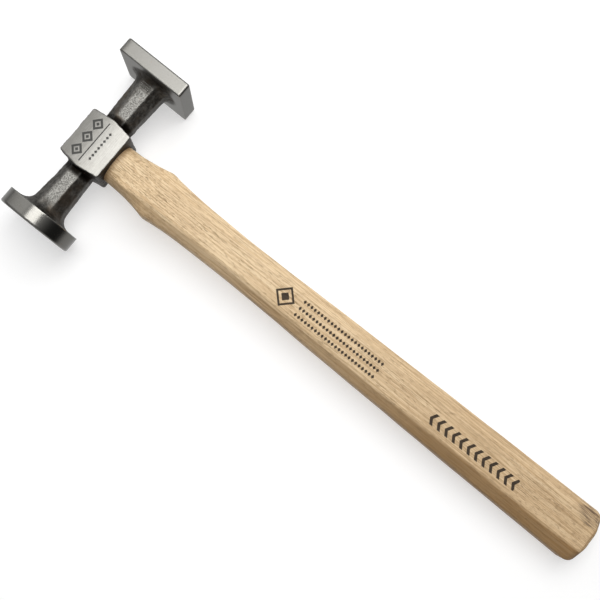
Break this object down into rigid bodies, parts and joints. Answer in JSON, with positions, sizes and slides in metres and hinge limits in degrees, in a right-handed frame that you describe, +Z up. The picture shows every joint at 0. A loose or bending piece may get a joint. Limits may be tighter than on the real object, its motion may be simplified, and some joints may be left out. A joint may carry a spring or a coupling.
{
  "type": "planishing hammer",
  "caption": "Metalworker's hammer for smoothing sheet: a forged steel head with a square and a round flat face on chamfered necks, wedged on a hickory handle.",
  "frame": {"origin": "middle of the bounding box, on the surface that the hammer lies on", "axes": "+X along the handle from the head towards the butt, dipping 1.7 degrees as it does on a bench; +Y along the head, out of the square face; +Z up, out of the cheek"},
  "size_m": [0.3304, 0.101, 0.04],
  "materials": {
    "forged_steel": "dark forged scale on the necks and shoulders, ground bright on the faces, rims and cheeks",
    "hickory": "fine straight grain, sanded and lightly oiled",
    "wedge_wood": "sawn flush, end grain",
    "wedge_steel": "plain turned steel"
  },
  "bodies": {
    "root": {"hammer_head": "forged_steel", "handle": "hickory", "wooden_wedge": "wedge_wood", "ring_wedge": "wedge_steel"}
  },
  "joints": []
}
